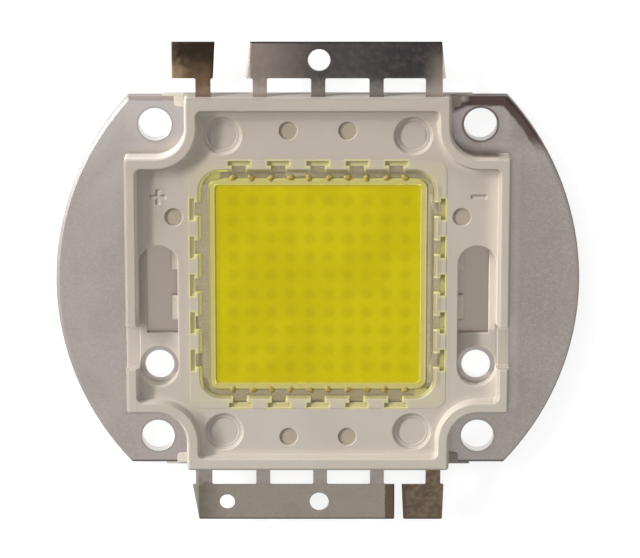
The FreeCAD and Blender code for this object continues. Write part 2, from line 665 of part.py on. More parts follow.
def make_wire_column():
    """Loops of wire from bar to die, die to die and die to bar, as separate solids."""
    body = new_body("wire_column")
    body.AllowCompound = True
    side = new_sketch(body, "wire_plan", "-dims.wire_thick / 2", "YZ_Plane")
    count = int(size("dims.die_count"))
    reach = "(dims.die_side / 2 - dims.bond_inset)"
    foot = "dims.wire_foot"
    ridge = "(dims.die_top + dims.wire_rise)"
    for number in range(count - 1):
        middle = f"(dims.array_half - ({number} + 0.5) * dims.die_pitch)"
        span = f"(dims.die_pitch / 2 - {reach} + {foot} / 2)"
        outline(side, [
            (f"{middle} - {span}", "dims.die_top"),
            (f"{middle} - {span} + {foot}", "dims.die_top"),
            (middle, f"{ridge} - dims.wire_thick"),
            (f"{middle} + {span} - {foot}", "dims.die_top"),
            (f"{middle} + {span}", "dims.die_top"),
            (middle, ridge),
        ])
    on_die = f"(dims.array_half + {reach})"
    on_bar = "(dims.bar_in + dims.bond_on_bar)"
    crest = "(dims.window_half + dims.dam_edge * 2 / 3)"
    for turn in (1, -1):
        outline(side, [
            (f"{turn} * ({on_die} - {foot} / 2)", "dims.die_top"),
            (f"{turn} * ({on_die} + {foot} / 2)", "dims.die_top"),
            (f"{turn} * {crest}", "dims.lead_top + dims.end_rise - dims.wire_thick"),
            (f"{turn} * ({on_bar} - {foot} / 2)", "dims.lead_top"),
            (f"{turn} * ({on_bar} + {foot} / 2)", "dims.lead_top"),
            (f"{turn} * {crest}", "dims.lead_top + dims.end_rise"),
        ])
    pad(body, side, "wire_loops", "dims.wire_thick")
    return body


def string_copies(column, label):
    """One copy of a column for each string, side by side along X."""
    copies = []
    for number in range(int(size("dims.die_count"))):
        copy = doc.addObject("Part::Compound", f"{label}_{number + 1:02d}")
        copy.Label = f"{label}_{number + 1:02d}"
        copy.Links = [column]
        copy.setExpression("Placement.Base.x", f"{number} * dims.die_pitch - dims.array_half + dims.array_aside")
        copies.append(copy)
    doc.recompute()
    return copies


# Silicone: the phosphor gel, the bead round it and the clear layer over the electrodes

def make_gel_body():
    body = new_body("gel_blank")
    plan = new_sketch(body, "gel_plan", "dims.plate_thick")
    round_square(plan, "dims.window_half", "dims.window_corner")
    pad(body, plan, "gel_block", "dims.gel_top - dims.plate_thick")
    return body


def make_dam_body():
    body = new_body("dam_blank")
    plan = new_sketch(body, "dam_plan", "dims.lead_top")
    round_square(plan, "dims.dam_out", "(dims.window_corner + dims.dam_width)")
    round_square(plan, "dims.window_half", "dims.window_corner")
    block = pad(body, plan, "dam_block", "dims.dam_height")
    soft = body.newObject("PartDesign::Chamfer", "dam_soft_edge")
    soft.Base = (block, edges_where(block, lambda edge: level(edge, size("dims.dam_top"))))
    soft.setExpression("Size", "dims.dam_edge")
    doc.recompute()
    return body


def make_seal_body():
    body = new_body("seal_blank")
    plan = new_sketch(body, "seal_plan", "dims.lead_top")
    round_square(plan, "dims.ring_half", "dims.ring_corner")
    round_square(plan, "dims.dam_out", "(dims.window_corner + dims.dam_width)")
    pad(body, plan, "seal_ring", "dims.seal_height")
    stems = new_sketch(body, "seal_stems", "dims.lead_top")
    caps = new_sketch(body, "seal_caps", "dims.lead_low")
    for centre in slot_places():
        t_slot(stems, "stem", centre)
        t_slot(caps, "cap", centre)
    stem_fill = pad(body, stems, "seal_stem_fill", "dims.seal_height")
    cap_fill = pad(body, caps, "seal_cap_fill", "dims.seal_top - dims.lead_low")
    round_the_window(body, "seal_slots", [stem_fill, cap_fill])
    return body


def cut_by(base, tools, label):
    """The base with exact hollows where the other pieces lie in it."""
    group = doc.addObject("Part::Compound", f"{label}_tools")
    group.Links = tools
    cut = doc.addObject("Part::Cut", label)
    cut.Label = label
    cut.Base = base
    cut.Tool = group
    doc.recompute()
    return cut


def build():
    plate = make_base_plate()
    middle_hole = "dims.upper_hole_shift"
    upper = make_electrode(
        "lead_frame_upper", 1, "dims.upper_row_shift", "dims.lower_tab_leg",
        lambda first: [(f"{first} - dims.upper_start", "dims.upper_start_slant"),
                       ("dims.corner_leg + dims.upper_end", "dims.upper_end_slant")],
        lambda leg: [(f"{leg} - dims.lower_tab_in", "dims.lower_tab_in_slant"),
                     (f"{leg} + dims.lower_tab_out", "dims.lower_tab_out_slant")],
        [(middle_hole, "dims.upper_hole_radius")])
    lower = make_electrode(
        "lead_frame_lower", -1, "-dims.lower_row_shift", "dims.upper_tab_leg",
        lambda first: [(f"{first} - dims.lower_start", "0"),
                       ("dims.corner_leg + dims.lower_end", "dims.lower_end_slant")],
        lambda leg: [(f"{leg} - dims.upper_tab_in", "-dims.upper_tab_in_slant"),
                     (f"{leg} + dims.upper_tab_out", "0")],
        [(f"-{middle_hole}", "dims.lower_hole_radius"),
         ("dims.corner_leg - dims.lower_small_back", "dims.lower_small_radius")])
    dies = string_copies(make_die_column(), "led_dies")
    wires = string_copies(make_wire_column(), "bond_wires")
    frame = cut_by(make_frame_body(), [upper, lower], "moulded_frame")
    gel = cut_by(make_gel_body(), dies + wires, "phosphor_gel")
    dam = cut_by(make_dam_body(), wires, "silicone_bead")
    seal = cut_by(make_seal_body(), [upper, lower] + wires, "clear_seal")
    return [plate, frame, upper, lower, gel, dam, seal] + dies + wires


def check_and_write(pieces):
    """Stops on a failed object or a bad shape, then writes one STEP file for each piece."""
    for item in doc.Objects:
        assert not {"Invalid", "Error"} & set(item.State), f"{item.Label}: {item.State}"
    for piece in pieces:
        assert not piece.Shape.isNull() and piece.Shape.isValid(), piece.Label
    os.makedirs("parts", exist_ok=True)
    for piece in pieces:
        piece.Shape.exportStep(f"parts/{piece.Label}.step")
        box = piece.Shape.BoundBox
        print(f"{piece.Label}: {len(piece.Shape.Solids)} solids, {piece.Shape.Volume:.3f} mm3, "
              f"z {box.ZMin:.2f} to {box.ZMax:.2f}")


check_and_write(build())
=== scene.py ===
import math

import bmesh
import bpy
from mathutils import Matrix, Vector


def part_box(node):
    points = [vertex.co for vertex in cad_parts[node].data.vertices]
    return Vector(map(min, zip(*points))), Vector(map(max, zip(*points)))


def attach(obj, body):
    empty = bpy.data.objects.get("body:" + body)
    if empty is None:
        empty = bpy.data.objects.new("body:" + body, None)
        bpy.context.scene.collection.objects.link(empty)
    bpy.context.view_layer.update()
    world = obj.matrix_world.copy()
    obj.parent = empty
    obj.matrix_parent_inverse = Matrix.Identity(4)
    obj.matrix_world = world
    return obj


# Looks of the chip-on-board LED module, in metres, in the part's own frame.
# The upper end is at +y, as in the photograph. A pair of numbers such as (6, 19) is in mm and
# goes to Look.step or Look.below, as the two ends of a soft change, or to Look.span, as the
# two limits of a band.

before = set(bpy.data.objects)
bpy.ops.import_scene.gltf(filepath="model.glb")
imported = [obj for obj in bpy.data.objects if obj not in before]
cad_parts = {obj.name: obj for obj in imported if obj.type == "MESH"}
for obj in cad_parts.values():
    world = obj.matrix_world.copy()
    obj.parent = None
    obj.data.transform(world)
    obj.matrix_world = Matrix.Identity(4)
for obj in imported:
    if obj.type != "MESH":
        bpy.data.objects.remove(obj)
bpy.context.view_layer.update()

MM = 0.001
DIES = 10

# Camera of the photograph: a long lens that leans a little towards the upper end
IMAGE = (640, 558)
CAMERA_DISTANCE = 420 * MM
CAMERA_LEAN = math.radians(15)
CAMERA_NEAR = 0.01
PIXELS_PER_MM = 9.338
PLATE_CENTRE_PIXEL = (317.77, 281.4)
SENSOR = 36.0

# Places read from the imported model, in metres
plate_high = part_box("base_plate")[1]
frame_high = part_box("moulded_frame")[1]
gel_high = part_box("phosphor_gel")[1]
bead_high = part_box("silicone_bead")[1]
lead_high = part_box("lead_frame_upper")[1]
die_boxes = [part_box(f"led_dies_{number:02d}") for number in range(1, DIES + 1)]
PLATE_TOP = plate_high.z
LEAD_TOP = lead_high.z
DIE_COLUMNS = [(low.x + high.x) / 2 for low, high in die_boxes]
DIE_PITCH = DIE_COLUMNS[1] - DIE_COLUMNS[0]
DIE_SIDE = die_boxes[0][1].x - die_boxes[0][0].x
FIRST_ROW = die_boxes[0][0].y + DIE_SIDE / 2

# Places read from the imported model, in mm
PLATE_HALF = plate_high.y / MM
WING_REACH = plate_high.x / MM
RIM_TOP = frame_high.z / MM
WINDOW_HALF = gel_high.x / MM
BEAD_HALF = bead_high.x / MM

# Places that more than one material uses, in mm
WING_RADIUS = 29.9
SCREW_AT = 17.25
SCREW_RADIUS = 1.75
SIDE_HOLE_AT = (17.0, -9.15)
SIDE_HOLE_RADIUS = 1.5
PAD_TOP = 3.12
CAP_FROM = 13.1


def colour(red, green, blue):
    """A linear colour from the photograph's kind of screen values, 0 to 255."""
    def linear(value):
        value /= 255
        return value / 12.92 if value <= 0.04045 else ((value + 0.055) / 1.055) ** 2.4
    return (linear(red), linear(green), linear(blue), 1.0)


class Look:
    """A node material that is put together a few nodes at a time. Lengths in it are in mm."""

    def __init__(self, name, **settings):
        self.material = bpy.data.materials.new(name)
        self.material.use_nodes = True
        self.tree = self.material.node_tree
        self.surface = self.tree.nodes["Principled BSDF"]
        for socket, value in settings.items():
            self.surface.inputs[socket.replace("_", " ")].default_value = value
        scaled = self.node("ShaderNodeVectorMath", operation="SCALE")
        self.join(self.node("ShaderNodeTexCoord").outputs["Object"], scaled.inputs[0])
        scaled.inputs["Scale"].default_value = 1 / MM
        self.place = scaled.outputs[0]
        parts = self.node("ShaderNodeSeparateXYZ")
        self.join(self.place, parts.inputs[0])
        self.x, self.y, self.z = parts.outputs
        # Distances from the two middle lines, and the larger of the two
        self.aside = self.calc("ABSOLUTE", self.x)
        self.along = self.calc("ABSOLUTE", self.y)
        self.reach = self.calc("MAXIMUM", self.aside, self.along)

    def node(self, kind, **settings):
        made = self.tree.nodes.new(kind)
        for key, value in settings.items():
            setattr(made, key, value)
        return made

    def join(self, source, target):
        """Links a socket, or writes a plain value."""
        if isinstance(source, bpy.types.NodeSocket):
            self.tree.links.new(source, target)
        else:
            target.default_value = source

    def calc(self, operation, *values):
        made = self.node("ShaderNodeMath", operation=operation)
        for value, socket in zip(values, made.inputs):
            self.join(value, socket)
        return made.outputs[0]

    def step(self, value, low, high):
        """0 below low, 1 above high, smooth between."""
        made = self.node("ShaderNodeMapRange", interpolation_type="SMOOTHSTEP")
        self.join(value, made.inputs["Value"])
        self.join(low, made.inputs["From Min"])
        self.join(high, made.inputs["From Max"])
        return made.outputs["Result"]

    def below(self, value, low, high):
        """1 below low, 0 above high, smooth between."""
        return self.calc("SUBTRACT", 1.0, self.step(value, low, high))

    def span(self, value, low, high, soft):
        """1 between low and high, with edges that are soft either way."""
        return self.calc("MULTIPLY", self.step(value, low - soft, low + soft),
                         self.below(value, high - soft, high + soft))

    def all_of(self, *masks):
        """The product of several masks."""
        product = masks[0]
        for mask in masks[1:]:
            product = self.calc("MULTIPLY", product, mask)
        return product

    def length(self, across, along):
        """The length of a vector in the plane."""
        square = self.calc("ADD", self.calc("MULTIPLY", across, across),
                           self.calc("MULTIPLY", along, along))
        return self.calc("SQRT", square)

    def distance(self, x, y):
        """Distance in the plane from a point on either side, at plus x and at minus x."""
        return self.length(self.calc("SUBTRACT", self.aside, x), self.calc("SUBTRACT", self.y, y))

    def off_screw(self):
        """Distance from the nearest corner hole's middle."""
        return self.calc("MINIMUM", self.distance(SCREW_AT, SCREW_AT),
                         self.distance(SCREW_AT, -SCREW_AT))

    def noise(self, scale, detail, stretch=(1, 1, 1), distortion=0.0, at=(0, 0, 0)):
        """Soft random values round 0.5; scale is in features per mm."""
        mapping = self.node("ShaderNodeMapping")
        self.join(self.place, mapping.inputs["Vector"])
        mapping.inputs["Scale"].default_value = stretch
        mapping.inputs["Location"].default_value = at
        made = self.node("ShaderNodeTexNoise")
        self.join(mapping.outputs[0], made.inputs["Vector"])
        made.inputs["Scale"].default_value = scale
        made.inputs["Detail"].default_value = detail
        made.inputs["Distortion"].default_value = distortion
        return made.outputs["Fac"]

    def wobble(self, scale, size, at=(0, 0, 0)):
        """A ragged random offset round zero, up to half of size either way."""
        centred = self.calc("SUBTRACT", self.noise(scale, 3, at=at), 0.5)
        return self.calc("MULTIPLY", centred, size)

    def vary(self, start, size, noise):
        """A value that rises from start by size times the noise."""
        return self.calc("ADD", start, self.calc("MULTIPLY", noise, size))

    def mix(self, factor, first, second):
        made = self.node("ShaderNodeMix", data_type="RGBA")
        self.join(factor, made.inputs["Factor"])
        self.join(first, made.inputs[6])
        self.join(second, made.inputs[7])
        return made.outputs[2]

    def paint(self, base, tone, *masks, amount=1.0):
        """Lays a tone over the base where all the masks hold."""
        factor = self.all_of(*masks)
        if amount != 1.0:
            factor = self.calc("MULTIPLY", factor, amount)
        return self.mix(factor, base, tone)

    def finish(self, tone, roughness=None, bump=None, strength=0.3, distance=0.02, soften=None,
               pressed=None, depth=0.1):
        """Links what was worked out to the surface; distance, soften and depth are in mm."""
        self.join(tone, self.surface.inputs["Base Color"])
        if roughness is not None:
            self.join(roughness, self.surface.inputs["Roughness"])
        normal = None
        if soften:
            bevel = self.node("ShaderNodeBevel", samples=4)
            bevel.inputs["Radius"].default_value = soften * MM
            normal = bevel.outputs[0]
        if pressed is not None:
            normal = self.bump(pressed, 1.0, depth, normal, invert=True)
        if bump is not None:
            normal = self.bump(bump, strength, distance, normal)
        if normal is not None:
            self.join(normal, self.surface.inputs["Normal"])
        return self.material

    def bump(self, height, strength, distance, normal, invert=False):
        """A normal that a height bends; distance is in mm."""
        made = self.node("ShaderNodeBump", invert=invert)
        made.inputs["Strength"].default_value = strength
        made.inputs["Distance"].default_value = distance * MM
        self.join(height, made.inputs["Height"])
        if normal is not None:
            self.join(normal, made.inputs["Normal"])
        return made.outputs[0]


# The plate

PLATE_ACROSS = (-16, 16)
PLATE_UPPER = (6, 19)
POCKET_X = (19.4, 19.9)
POCKET_Y = (12.0, 13.0)
POCKET_ACROSS = (-5, 5)
LIT_FOOT_X = (20.4, 21.5)
LIT_FOOT_Y = (13.8, 14.4)


def plate_look():
    """Plated sheet, satin, mottled; warm on the left, cooler on the right, dark at one corner, with
    painted reflections, light, glints and shade.
    """
    look = Look("plated_plate", Metallic=1.0)
    grain = look.noise(5, 4)
    wobble = look.calc("MULTIPLY", look.noise(0.8, 3), 0.5)
    out = look.off_screw()
    across = look.calc("ADD", look.aside, WING_RADIUS - WING_REACH)
    off_wing = look.calc("SUBTRACT", WING_RADIUS, look.length(across, look.y))
    base = plate_tones(look, grain)
    base = dark_edge_reflection_and_line(look, base, off_wing, wobble)
    base = hole_tones(look, base, out)
    base = corner_marks_and_glint(look, base, out, wobble)
    base = edge_shade_and_hole_lines(look, base, off_wing, out)
    rough = look.vary(0.32, 0.16, grain)
    return look.finish(base, rough, grain, strength=0.3, distance=0.012, soften=0.08)


def plate_tones(look, grain):
    """The even tones, the mottling, the bare pockets, and painted light on the plate beside the
    moulding's right side.
    """
    cloud = look.noise(0.12, 4, distortion=0.7)
    speck = look.noise(2.6, 3, at=(4, 9, 1))
    top = look.step(look.y, *PLATE_UPPER)
    left = look.mix(top, colour(167, 158, 153), colour(188, 181, 177))
    right = look.mix(top, colour(152, 145, 141), colour(159, 150, 147))
    base = look.mix(look.step(look.x, *PLATE_ACROSS), left, right)
    base = look.paint(base, colour(148, 138, 132), look.step(cloud, 0.42, 0.68), amount=0.3)
    base = look.paint(base, colour(188, 180, 174), look.step(grain, 0.4, 0.72), amount=0.3)
    base = look.paint(base, colour(128, 116, 108), look.step(speck, 0.62, 0.74), amount=0.25)
    bare = look.mix(look.step(look.x, *POCKET_ACROSS), colour(166, 154, 142), colour(156, 144, 132))
    base = look.paint(base, bare, look.below(look.aside, *POCKET_X),
                      look.below(look.along, *POCKET_Y), amount=0.7)
    # Painted light: the plate beside the moulding's right side is lifted out of the moulding's
    # shadow.
    return look.paint(base, colour(196, 187, 182), look.span(look.x, *LIT_FOOT_X, soft=0.3),
                      look.below(look.along, *LIT_FOOT_Y), amount=0.25)


EDGE_REFLECTION_DEPTH = (1.1, 1.4)
EDGE_REFLECTION_FROM_X = (15.2, 16.2)
EDGE_REFLECTION_FROM_Y = (13.8, 16.2)
LINE_FROM_Y = (20.0, 20.15)
LINE_TO_X = (-14.4, -14.2)


def dark_edge_reflection_and_line(look, base, off_wing, wobble):
    """A painted dark reflection along the upper right edge, and the brown line at the upper left
    edge.
    """
    off_side = look.calc("SUBTRACT", PLATE_HALF, look.along)
    edge = look.calc("MINIMUM", off_wing, off_side)
    # Painted reflection: a dark band along the upper right rolled edge.
    base = look.paint(base, colour(70, 52, 48),
                      look.below(look.calc("ADD", edge, wobble), *EDGE_REFLECTION_DEPTH),
                      look.step(look.y, *EDGE_REFLECTION_FROM_Y), look.step(look.x, *EDGE_REFLECTION_FROM_X),
                      amount=0.92)
    return look.paint(base, colour(146, 124, 118),
                      look.step(look.calc("ADD", look.y, wobble), *LINE_FROM_Y),
                      look.below(look.x, *LINE_TO_X), amount=0.6)


PAINTED_WALL_REFLECTION = colour(252, 252, 252)
DULLER_WALL_REFLECTION = colour(240, 238, 236)
SIDE_RING = (2.05, 2.15)
SIDE_RING_LIT_LOW = (SIDE_HOLE_AT[1] - 1.4, SIDE_HOLE_AT[1] - 0.6)


def hole_tones(look, base, out):
    """Painted reflections of the white floor on the holes' walls, the rings round the side holes
    with painted light on their lower halves, and dirt round one corner hole.
    """
    off_hole = look.distance(*SIDE_HOLE_AT)
    ring = look.below(off_hole, *SIDE_RING)
    base = look.paint(base, colour(176, 168, 168), ring, amount=0.6)
    # Painted light on the lower half of each side hole's ring.
    base = look.paint(base, colour(228, 221, 215), ring, look.below(look.y, *SIDE_RING_LIT_LOW),
                      amount=0.5)
    # Painted reflection: the holes' walls mirror the white floor.
    wall = look.below(off_hole, SIDE_HOLE_RADIUS + 0.02, SIDE_HOLE_RADIUS + 0.06)
    base = look.paint(base, PAINTED_WALL_REFLECTION, wall)
    wall = look.below(out, SCREW_RADIUS + 0.01, SCREW_RADIUS + 0.04)
    base = look.paint(base, DULLER_WALL_REFLECTION, wall)
    return look.paint(base, colour(84, 72, 66),
                      look.span(out, SCREW_RADIUS, SCREW_RADIUS + 0.25, soft=0.06),
                      look.step(look.x, 0, 1), look.step(look.y, 0, 1), amount=0.7)


LOWER_FACE = (-20.1, -19.95)
GLINT_RING = (1.9, 2.9)
GLINT_RING_Y = (13.6, 16.0)
GLINT_ARM_Y = (13.6, 15.2)
GLINT_ARM_FROM = (SCREW_AT, 17.4)
GLINT_ARM_TO = (19.5, 21.0)
DARK_BLUR_X = (20.0, 21.4)
DARK_BLUR_Y = (14.6, 16.6)
PATCH_X = (14.3, 16.3)
PATCH_SLOPE_AT = 14.4
PATCH_SLOPE = 0.5
PATCH_FROM = (18.5, 19.0)
PATCH_TO = (19.5, 19.9)


def corner_marks_and_glint(look, base, out, wobble):
    """The dark lower face, a painted glint on the sheet under the upper holes, and dark patches at
    the upper right.
    """
    base = look.paint(base, colour(84, 76, 72), look.below(look.y, *LOWER_FACE), amount=0.85)
    # Painted glint: paler sheet under the upper holes and beside the arms.
    ring = look.all_of(look.step(out, *GLINT_RING), look.span(look.y, *GLINT_RING_Y, soft=0.5),
                       look.below(look.aside, *GLINT_ARM_FROM))
    arm = look.all_of(look.span(look.y, *GLINT_ARM_Y, soft=0.5),
                      look.step(look.aside, *GLINT_ARM_FROM), look.below(look.aside, *GLINT_ARM_TO))
    base = look.paint(base, colour(230, 222, 215), look.calc("MAXIMUM", ring, arm), amount=0.2)
    # Darker patches at the upper right.
    base = look.paint(base, colour(104, 92, 88), look.step(look.x, *DARK_BLUR_X),
                      look.step(look.calc("ADD", look.y, wobble), *DARK_BLUR_Y), amount=0.3)
    fall = look.calc("MULTIPLY", look.calc("SUBTRACT", look.x, PATCH_SLOPE_AT), PATCH_SLOPE)
    rise = look.calc("ADD", look.calc("SUBTRACT", look.y, fall), wobble)
    return look.paint(base, colour(62, 52, 50), look.span(look.x, *PATCH_X, soft=0.3),
                      look.step(rise, *PATCH_FROM), look.below(look.y, *PATCH_TO), amount=0.85)


EDGE_LINE = (0.06, 0.16)
EDGE_SIDES = (-2, 2)


def edge_shade_and_hole_lines(look, base, off_wing, out):
    """Thin bands of painted shade along the wings' edges, darker on the right, and thin lines round
    the corner holes.
    """
    # Painted shade along the wings' rolled edges.
    rim = look.mix(look.step(look.x, *EDGE_SIDES), colour(166, 157, 151), colour(108, 99, 94))
    base = look.paint(base, rim, look.below(off_wing, *EDGE_LINE), amount=0.7)
    mouth = look.span(out, SCREW_RADIUS, SCREW_RADIUS + 0.2, soft=0.06)
    return look.paint(base, colour(112, 104, 99), mouth, amount=0.3)


# The moulding

DIMPLE_Z = (2.92, 2.99)
DIMPLE_FROM = (14.4, 14.6)
LUG_X = (14.1, 14.3)
LUG_Y = (18.6, 18.9)
LUG_Z = (1.8, 1.9)


def frame_look():
    """Matt warm grey moulding with a fine grain and faint flow marks, with painted light and shade
    on its floors, walls, notches and lugs, and a painted yellow glow round the window.
    """
    look = Look("moulded_plastic", Roughness=0.55, Subsurface_Weight=0.6,
                Subsurface_Radius=(1.0, 0.9, 0.7), Subsurface_Scale=0.5 * MM)
    cloud = look.noise(0.12, 3, distortion=0.5)
    grain = look.noise(7, 3)
    speck = look.noise(3.3, 2, at=(5, 1, 2))
    base = look.mix(look.step(look.y, -19, 19), colour(189, 181, 170), colour(184, 174, 162))
    base = look.paint(base, colour(172, 161, 146), look.step(cloud, 0.35, 0.7), amount=0.25)
    base = look.paint(base, colour(156, 142, 124), look.step(speck, 0.68, 0.76), amount=0.2)
    base = look.paint(base, colour(160, 147, 126), look.span(look.z, *DIMPLE_Z, soft=0.02),
                      look.step(look.reach, *DIMPLE_FROM), amount=0.75)
    for lay in (floor_light, rim_edge_shade, shelf_light, notch_walls, yellow_glow_and_shade, slot_edges):
        base = lay(look, base)
    # Painted light on the left lug and painted shade on the right lug.
    lugs = look.all_of(look.step(look.along, *LUG_Y), look.below(look.z, *LUG_Z))
    for side, tone in ((-1, colour(218, 207, 195)), (1, colour(150, 143, 126))):
        out = look.step(look.calc("MULTIPLY", look.x, side), *LUG_X)
        base = look.paint(base, tone, out, lugs, amount=0.8)
    return look.finish(base, look.vary(0.45, 0.2, grain), grain, strength=0.25, distance=0.015,
                       soften=0.12, pressed=polarity_signs(look), depth=SIGN_DEPTH)


FLOOR_Z = ((2.95, 3.05), (3.13, 3.2))
FLOOR_RIGHT = (17.3, 19.1)
FLOOR_UPPER = (18.0, 19.2)
FLOOR_LEFT = (-19.4, -18.8)
FLOOR_LOWER = (-19.2, -18.0)
FLOOR_CURVE = (4.4, 5.4)
DUSK_X = (-18.0, -16.2)
DUSK_Y = (4, 8)
WALL_Z = ((3.1, 3.2), (3.8, 3.95))
WALL_LEFT_HALF = (-2, 0)
WALL_CURVE = (4.3, 4.7)
WALL_X = (-19.9, -19.0)
WALL_Y = (-4, -2)


def floor_light(look, base):
    """Paler floor along the inner walls, paler left walls, and the dusk beside the left shade."""
    floor = look.all_of(look.step(look.z, *FLOOR_Z[0]), look.below(look.z, *FLOOR_Z[1]))
    curve = look.off_screw()
    base = look.paint(base, colour(232, 222, 208), floor, look.step(look.x, *FLOOR_RIGHT),
                      amount=0.5)
    base = look.paint(base, colour(226, 217, 205), floor, look.step(look.y, *FLOOR_UPPER),
                      amount=0.6)
    base = look.paint(base, colour(222, 213, 202), floor, look.below(look.x, *FLOOR_LEFT),
                      amount=0.4)
    base = look.paint(base, colour(226, 217, 205), floor, look.below(curve, *FLOOR_CURVE),
                      amount=0.4)
    walls = look.all_of(look.step(look.z, *WALL_Z[0]), look.below(look.z, *WALL_Z[1]),
                        look.below(look.x, *WALL_LEFT_HALF))
    inside = look.calc("MAXIMUM", look.below(curve, *WALL_CURVE),
                       look.span(look.x, *WALL_X, soft=0.1))
    base = look.paint(base, colour(236, 227, 216), walls, inside, look.step(look.y, *WALL_Y),
                      amount=0.4)
    base = look.paint(base, colour(146, 137, 128), floor, look.span(look.x, *DUSK_X, soft=0.5),
                      look.step(look.y, *DUSK_Y), amount=0.3)
    return look.paint(base, colour(222, 212, 198), floor, look.below(look.y, *FLOOR_LOWER),
                      amount=0.6)


CHAMFER_Z = (RIM_TOP - 0.4, RIM_TOP - 0.25)
CHAMFER_LEFT = (-20.4, -20.15)
CHAMFER_UPPER = (20.15, 20.3)
END_FACE = (20.3, 20.4)
RIGHT_WALL_X = (18.9, 19.1)
RIGHT_WALL_Z = ((3.16, 3.24), (3.9, 3.98))
EDGE_SHADE_TONE = colour(150, 142, 134)


def rim_edge_shade(look, base):
    """Painted shade on the lit left and upper chamfers, the upper end face and the right inner
    wall.
    """
    chamfer = look.step(look.z, *CHAMFER_Z)
    under = look.below(look.z, *CHAMFER_Z)
    base = look.paint(base, EDGE_SHADE_TONE, look.below(look.x, *CHAMFER_LEFT), chamfer, amount=0.8)
    base = look.paint(base, EDGE_SHADE_TONE, look.step(look.y, *CHAMFER_UPPER), chamfer, amount=0.7)
    base = look.paint(base, EDGE_SHADE_TONE, look.step(look.y, *END_FACE), under, amount=0.3)
    return look.paint(base, colour(156, 148, 138), look.step(look.x, *RIGHT_WALL_X),
                      look.step(look.z, *RIGHT_WALL_Z[0]), look.below(look.z, *RIGHT_WALL_Z[1]),
                      amount=0.5)


SHELF_Z = (2.05, 2.15)
TABS_X = (14.8, 15.8)
TABS_Y = (-4, 5)
SHELF_RIGHT = (17.8, 18.4)
SHELF_UPPER = (-5.4, -5.0)
CHANNEL_X = (-14.9, -14.7)
CHANNEL_Y = (-5.1, -4.9)
SHELF_LINE_X = (19.05, 19.35)
SHELF_LINE_Y = (-9.9, -5.0)


def shelf_light(look, base):
    """Paler tabs, right shelf, left channel, and the bright line at the right channel."""
    shelf = look.below(look.z, *SHELF_Z)
    base = look.paint(base, colour(226, 218, 206), shelf, look.span(look.aside, *TABS_X, soft=0.05),
                      look.span(look.y, *TABS_Y, soft=0.1), amount=0.8)
    base = look.paint(base, colour(226, 215, 202), shelf, look.step(look.y, *SHELF_UPPER),
                      look.step(look.x, *SHELF_RIGHT), amount=0.6)
    base = look.paint(base, colour(222, 213, 202), shelf, look.below(look.x, *CHANNEL_X),
                      look.below(look.y, *CHANNEL_Y), amount=0.2)
    return look.paint(base, colour(250, 243, 232), shelf,
                      look.span(look.x, *SHELF_LINE_X, soft=0.05),
                      look.span(look.y, *SHELF_LINE_Y, soft=0.1), amount=0.9)


NOTCH_DARK_TONE = colour(96, 82, 70)
NOTCH_DARK_Z = (2.7, 3.7)
NOTCH_DARK_OUT = (3.6, 3.8)
NOTCH_DARK_X = (13.5, 13.6)
NOTCH_DARK_Y = (16.8, 18.4)
ARM_FROM = (17.2, 17.6)
ARM_TO = (19.0, 20.6)
ARM_Y = (13.9, 14.6)
LIT_NOTCH_X = (-13.95, -13.85)
LIT_NOTCH_Y = (13.9, 14.0)
LIT_NOTCH_Z = ((1.9, 2.0), (3.75, 3.9))


def notch_walls(look, base):
    """Darker walls under the upper right corner hole, and painted light on the upper left notch
    wall.
    """
    low = look.below(look.z, *NOTCH_DARK_Z)
    off_hole = look.distance(SCREW_AT, SCREW_AT)
    base = look.paint(base, NOTCH_DARK_TONE, look.below(off_hole, *NOTCH_DARK_OUT), look.step(look.x, *NOTCH_DARK_X),
                      look.below(look.y, *NOTCH_DARK_Y), low, amount=0.75)
    base = look.paint(base, NOTCH_DARK_TONE, look.step(look.x, *ARM_FROM), look.below(look.x, *ARM_TO),
                      look.span(look.y, *ARM_Y, soft=0.08), low, amount=0.7)
    # Painted light on the upper left notch wall.
    return look.paint(base, colour(228, 221, 212), look.below(look.x, *LIT_NOTCH_X),
                      look.step(look.y, *LIT_NOTCH_Y), look.step(look.z, *LIT_NOTCH_Z[0]),
                      look.below(look.z, *LIT_NOTCH_Z[1]), amount=0.6)


GLOW_REACH = (12.6, 14.2)
SLOT_END = (14.2, 14.3)
UNDER_PAD = (PAD_TOP - 0.1, PAD_TOP - 0.01)
RING_WALL = (12.2, 12.4)
RING_WALL_LEFT = (-12.4, -12.2)
BEND_X = (-9.8, -9.2)
BEND_Y = (9.2, 9.8)
LIP_X = (12.5, 13.2)
LIP_Y = (10.5, 11.5)
SLOT_FLOOR = (2.41, 2.5)
SLOT_FROM = (11.0, 11.2)
UPPER_SLOTS = (12.0, 12.4)


